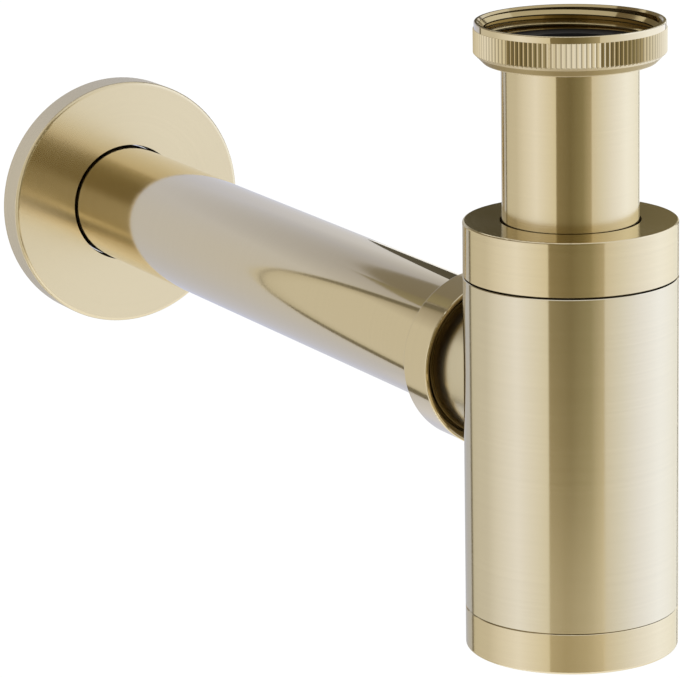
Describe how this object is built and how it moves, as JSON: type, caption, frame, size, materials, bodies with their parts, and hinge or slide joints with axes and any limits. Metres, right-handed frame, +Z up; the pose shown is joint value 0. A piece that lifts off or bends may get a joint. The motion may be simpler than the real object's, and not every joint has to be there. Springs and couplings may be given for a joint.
{
  "type": "bottle trap",
  "caption": "Brushed-brass bottle trap for a washbasin: knurled inlet nut, dip tube, compression cap, screwed cleaning base, straight outlet pipe and round wall flange.",
  "frame": {"origin": "centre of the inlet washer's top face, on the inlet axis, where the basin's waste seals", "axes": "+Z up along the inlet tube, +Y along the outlet pipe towards the wall"},
  "size_m": [0.069, 0.3093, 0.1498],
  "materials": {
    "brushed_brass": "fine brushed champagne brass",
    "black_rubber": "matt moulded rubber",
    "white_nylon": "natural nylon"
  },
  "bodies": {
    "bottle": {"trap_body": "brushed_brass"},
    "inlet_gland": {"top_seal": "black_rubber"},
    "inlet": {"inlet_tube": "brushed_brass", "inlet_washer": "black_rubber"},
    "nut": {"coupling_nut": "brushed_brass"},
    "cap_ring": {"top_slip_ring": "white_nylon"},
    "cap": {"top_cap": "brushed_brass"},
    "base_ring": {"base_seal": "black_rubber"},
    "base": {"base_cap": "brushed_brass"},
    "outlet_ring": {"outlet_slip_ring": "white_nylon"},
    "outlet_collar": {"outlet_nut": "brushed_brass"},
    "outlet_gland": {"outlet_seal": "black_rubber"},
    "pipe": {"outlet_pipe": "brushed_brass"},
    "flange_grip": {"flange_ring": "black_rubber"},
    "flange": {"wall_flange": "brushed_brass"}
  },
  "joints": [
    {"name": "inlet_swivel", "type": "hinge", "parent": "bottle", "child": "inlet_gland", "pos_m": [0, 0, 0], "axis": [0, 0, 1], "continuous": true},
    {"name": "inlet_height", "type": "slide", "parent": "inlet_gland", "child": "inlet", "axis": [0, 0, 1], "range_m": [-0.01, 0.02]},
    {"name": "coupling_nut_turn", "type": "hinge", "parent": "inlet", "child": "nut", "pos_m": [0, 0, 0], "axis": [0, 0, 1], "continuous": true},
    {"name": "top_cap_rise", "type": "slide", "parent": "bottle", "child": "cap_ring", "axis": [0, 0, 1], "range_m": [0, 0.006]},
    {"name": "top_cap_turn", "type": "hinge", "parent": "cap_ring", "child": "cap", "pos_m": [0, 0, 0], "axis": [0, 0, 1], "range_deg": [0, 1440]},
    {"name": "base_cap_drop", "type": "slide", "parent": "bottle", "child": "base_ring", "axis": [0, 0, -1], "range_m": [0, 0.0075]},
    {"name": "base_cap_turn", "type": "hinge", "parent": "base_ring", "child": "base", "pos_m": [0, 0, 0], "axis": [0, 0, -1], "range_deg": [0, 1800]},
    {"name": "outlet_nut_travel", "type": "slide", "parent": "bottle", "child": "outlet_ring", "axis": [0, 1, 0], "range_m": [0, 0.0045]},
    {"name": "outlet_nut_turn", "type": "hinge", "parent": "outlet_ring", "child": "outlet_collar", "pos_m": [0, 0, -0.0828], "axis": [0, 1, 0], "range_deg": [0, 1080]},
    {"name": "pipe_swivel", "type": "hinge", "parent": "bottle", "child": "outlet_gland", "pos_m": [0, 0, -0.0828], "axis": [0, 1, 0], "continuous": true},
    {"name": "pipe_slide", "type": "slide", "parent": "outlet_gland", "child": "pipe", "axis": [0, 1, 0], "range_m": [0, 0.008]},
    {"name": "flange_slide", "type": "slide", "parent": "pipe", "child": "flange_grip", "axis": [0, 1, 0], "range_m": [-0.19, 0.02]},
    {"name": "flange_turn", "type": "hinge", "parent": "flange_grip", "child": "flange", "pos_m": [0, 0, -0.0828], "axis": [0, 1, 0], "continuous": true}
  ],
  "couplings": [
    {"joint": "top_cap_rise", "follows": "top_cap_turn", "m_per_rad": 0.00023873},
    {"joint": "base_cap_drop", "follows": "base_cap_turn", "m_per_rad": 0.00023873},
    {"joint": "outlet_nut_travel", "follows": "outlet_nut_turn", "m_per_rad": 0.00023873}
  ]
}
